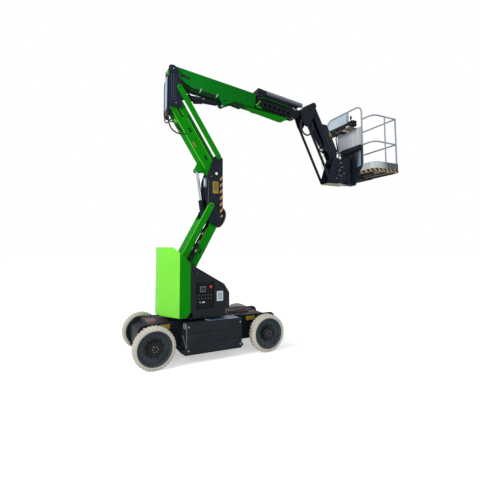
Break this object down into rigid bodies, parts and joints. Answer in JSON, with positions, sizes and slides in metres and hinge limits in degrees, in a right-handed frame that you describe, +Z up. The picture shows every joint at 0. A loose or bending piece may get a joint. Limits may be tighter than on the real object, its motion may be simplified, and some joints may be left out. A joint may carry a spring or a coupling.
{
  "type": "articulating boom lift",
  "caption": "Self-propelled articulating boom lift with a two-stage folding tower, a telescopic boom, a jib and a turning guard-railed platform, on four solid tyres.",
  "frame": {"origin": "on the ground, under the axis that the turntable slews about, midway between the axles", "axes": "+X along the chassis to its steered end, the way the boom points; +Y to the machine's left; +Z up"},
  "size_m": [5.4245, 1.4635, 4.78],
  "materials": {
    "dark_paint": "satin anthracite paint",
    "green_paint": "semi-gloss green paint",
    "lime_paint": "semi-gloss bright green paint",
    "bare_steel": "machined steel",
    "rod_chrome": "ground and chromed",
    "black_plastic": "textured moulding",
    "cream_tyre": "solid non-marking rubber",
    "rim_paint": "satin grey paint",
    "rail_paint": "grey-blue paint",
    "tread_aluminium": "tread plate, dusty",
    "grey_sheet": "pale grey paint"
  },
  "bodies": {
    "chassis": {"chassis_frame": "dark_paint", "battery_box_right": "dark_paint", "battery_box_left": "dark_paint", "slew_ring": "bare_steel", "rear_axle": "dark_paint", "front_axle": "dark_paint"},
    "knuckle_right": {"knuckle_right": "dark_paint"},
    "knuckle_left": {"knuckle_left": "dark_paint"},
    "wheel_rear_right": {"tyre_rear_right": "cream_tyre", "rim_rear_right": "rim_paint"},
    "wheel_rear_left": {"tyre_rear_left": "cream_tyre", "rim_rear_left": "rim_paint"},
    "wheel_front_right": {"tyre_front_right": "cream_tyre", "rim_front_right": "rim_paint"},
    "wheel_front_left": {"tyre_front_left": "cream_tyre", "rim_front_left": "rim_paint"},
    "turntable": {"turntable": "dark_paint", "cover_right": "dark_paint", "cover_left": "dark_paint", "ground_panel": "black_plastic", "counterweight": "lime_paint"},
    "lower_link": {"lower_link": "green_paint"},
    "lower_tie": {"lower_tie": "green_paint"},
    "middle_upright": {"middle_upright": "dark_paint"},
    "upper_arm": {"upper_arm": "green_paint"},
    "upper_tie": {"upper_tie": "green_paint"},
    "upper_upright": {"upper_upright": "dark_paint"},
    "tower_barrel": {"tower_cylinder_barrel": "dark_paint"},
    "tower_rod": {"tower_cylinder_rod": "rod_chrome"},
    "main_boom": {"main_boom": "green_paint"},
    "fly": {"fly_boom": "green_paint", "fly_cover": "black_plastic", "hose_tray": "black_plastic"},
    "boom_barrel": {"boom_cylinder_barrel": "dark_paint"},
    "boom_rod": {"boom_cylinder_rod": "rod_chrome"},
    "knuckle": {"jib_knuckle": "dark_paint"},
    "jib": {"jib_arm": "dark_paint"},
    "jib_tie": {"jib_tie": "dark_paint"},
    "jib_barrel": {"jib_cylinder_barrel": "dark_paint"},
    "jib_rod": {"jib_cylinder_rod": "rod_chrome"},
    "platform_support": {"platform_support": "dark_paint"},
    "platform": {"platform_bracket": "dark_paint", "platform_floor": "tread_aluminium", "toe_boards": "rail_paint", "guard_rails": "rail_paint", "platform_console": "black_plastic", "rear_sheets": "grey_sheet"}
  },
  "joints": [
    {"name": "wheel_rear_right_turn", "type": "hinge", "parent": "chassis", "child": "wheel_rear_right", "pos_m": [-0.915, -0.5645, 0.3], "axis": [0, 1, 0], "continuous": true},
    {"name": "wheel_rear_left_turn", "type": "hinge", "parent": "chassis", "child": "wheel_rear_left", "pos_m": [-0.915, 0.5645, 0.3], "axis": [0, 1, 0], "continuous": true},
    {"name": "steer_right", "type": "hinge", "parent": "chassis", "child": "knuckle_right", "pos_m": [0.915, -0.425, 0.3], "axis": [0, 0, 1], "range_deg": [-35, 35]},
    {"name": "steer_left", "type": "hinge", "parent": "chassis", "child": "knuckle_left", "pos_m": [0.915, 0.425, 0.3], "axis": [0, 0, 1], "range_deg": [-35, 35]},
    {"name": "wheel_front_right_turn", "type": "hinge", "parent": "knuckle_right", "child": "wheel_front_right", "pos_m": [0.915, -0.5645, 0.3], "axis": [0, 1, 0], "continuous": true},
    {"name": "wheel_front_left_turn", "type": "hinge", "parent": "knuckle_left", "child": "wheel_front_left", "pos_m": [0.915, 0.5645, 0.3], "axis": [0, 1, 0], "continuous": true},
    {"name": "slew", "type": "hinge", "parent": "chassis", "child": "turntable", "pos_m": [0, 0, 0.6], "axis": [0, 0, 1], "range_deg": [-177.5, 177.5]},
    {"name": "tower_lift", "type": "hinge", "parent": "turntable", "child": "lower_link", "pos_m": [-0.446, 0, 0.979], "axis": [0, -1, 0], "range_deg": [-55, 8]},
    {"name": "lower_tie_turn", "type": "hinge", "parent": "turntable", "child": "lower_tie", "pos_m": [-0.526, 0, 1.268], "axis": [0, -1, 0], "range_deg": [-56.15, 8.21]},
    {"name": "middle_level", "type": "hinge", "parent": "lower_link", "child": "middle_upright", "pos_m": [0.1763, 0, 2.12038], "axis": [0, -1, 0], "range_deg": [-8.21, 56.15]},
    {"name": "tower_unfold", "type": "hinge", "parent": "middle_upright", "child": "upper_arm", "pos_m": [0.1913, 0, 2.97038], "axis": [0, -1, 0], "range_deg": [-8.21, 56.15]},
    {"name": "upper_tie_turn", "type": "hinge", "parent": "middle_upright", "child": "upper_tie", "pos_m": [0.2313, 0, 3.27038], "axis": [0, -1, 0], "range_deg": [-8.21, 56.15]},
    {"name": "upper_level", "type": "hinge", "parent": "upper_arm", "child": "upper_upright", "pos_m": [-0.50934, 0, 4.07016], "axis": [0, -1, 0], "range_deg": [-56.15, 8.21]},
    {"name": "tower_cylinder_turn", "type": "hinge", "parent": "middle_upright", "child": "tower_barrel", "pos_m": [0.0013, 0, 2.27038], "axis": [0, -1, 0], "range_deg": [-1.16, 0.21]},
    {"name": "tower_cylinder_stroke", "type": "slide", "parent": "tower_barrel", "child": "tower_rod", "axis": [-0.1574, 0, 0.9875], "range_m": [-0.29885, 0.04432]},
    {"name": "boom_lift", "type": "hinge", "parent": "upper_upright", "child": "main_boom", "pos_m": [-0.58434, 0, 4.65016], "axis": [0, -1, 0], "range_deg": [0, 72]},
    {"name": "boom_cylinder_turn", "type": "hinge", "parent": "upper_upright", "child": "boom_barrel", "pos_m": [-0.46434, 0, 4.27016], "axis": [0, -1, 0], "range_deg": [-0.05, 67.81]},
    {"name": "boom_cylinder_stroke", "type": "slide", "parent": "boom_barrel", "child": "boom_rod", "axis": [0.9998, 0, 0.0185], "range_m": [-0.001, 0.49384]},
    {"name": "fly_extend", "type": "slide", "parent": "main_boom", "child": "fly", "axis": [0.9946, 0, -0.1037], "range_m": [0, 0.9]},
    {"name": "knuckle_level", "type": "hinge", "parent": "fly", "child": "knuckle", "pos_m": [2.09119, 0, 4.40047], "axis": [0, -1, 0], "range_deg": [-73.49, 0.05]},
    {"name": "jib_lift", "type": "hinge", "parent": "knuckle", "child": "jib", "pos_m": [2.36119, 0, 4.60047], "axis": [0, -1, 0], "range_deg": [0, 108]},
    {"name": "jib_tie_turn", "type": "hinge", "parent": "knuckle", "child": "jib_tie", "pos_m": [2.17319, 0, 4.16447], "axis": [0, -1, 0], "range_deg": [-0.05, 110.21]},
    {"name": "jib_cylinder_turn", "type": "hinge", "parent": "knuckle", "child": "jib_barrel", "pos_m": [2.29619, 0, 4.36047], "axis": [0, -1, 0], "range_deg": [-0.05, 110.1]},
    {"name": "jib_cylinder_stroke", "type": "slide", "parent": "jib_barrel", "child": "jib_rod", "axis": [0.504, 0, -0.8637], "range_m": [-0.001, 0.42725]},
    {"name": "platform_level", "type": "hinge", "parent": "jib", "child": "platform_support", "pos_m": [2.9195, 0, 3.49999], "axis": [0, -1, 0], "range_deg": [-110.21, 0.05]},
    {"name": "platform_turn", "type": "hinge", "parent": "platform_support", "child": "platform", "pos_m": [3.3195, 0, 3.49999], "axis": [0, 0, 1], "range_deg": [-80, 80]}
  ],
  "couplings": [
    {"joint": "lower_tie_turn", "follows": "tower_lift", "ratio": 1},
    {"joint": "middle_level", "follows": "tower_lift", "ratio": -1},
    {"joint": "tower_unfold", "follows": "tower_lift", "ratio": -1},
    {"joint": "upper_tie_turn", "follows": "tower_lift", "ratio": -1},
    {"joint": "upper_level", "follows": "tower_lift", "ratio": 1},
    {"joint": "tower_cylinder_turn", "follows": "tower_lift", "ratio": 0.0198},
    {"joint": "tower_cylinder_stroke", "follows": "tower_lift", "m_per_rad": 0.3042},
    {"joint": "boom_cylinder_turn", "follows": "boom_lift", "ratio": 0.9227},
    {"joint": "boom_cylinder_stroke", "follows": "boom_lift", "m_per_rad": 0.3845},
    {"joint": "knuckle_level", "follows": "boom_lift", "ratio": -1},
    {"joint": "jib_tie_turn", "follows": "jib_lift", "ratio": 1},
    {"joint": "jib_cylinder_turn", "follows": "jib_lift", "ratio": 0.999},
    {"joint": "jib_cylinder_stroke", "follows": "jib_lift", "m_per_rad": 0.2217},
    {"joint": "platform_level", "follows": "jib_lift", "ratio": -1},
    {"joint": "steer_left", "follows": "steer_right", "ratio": 1}
  ]
}
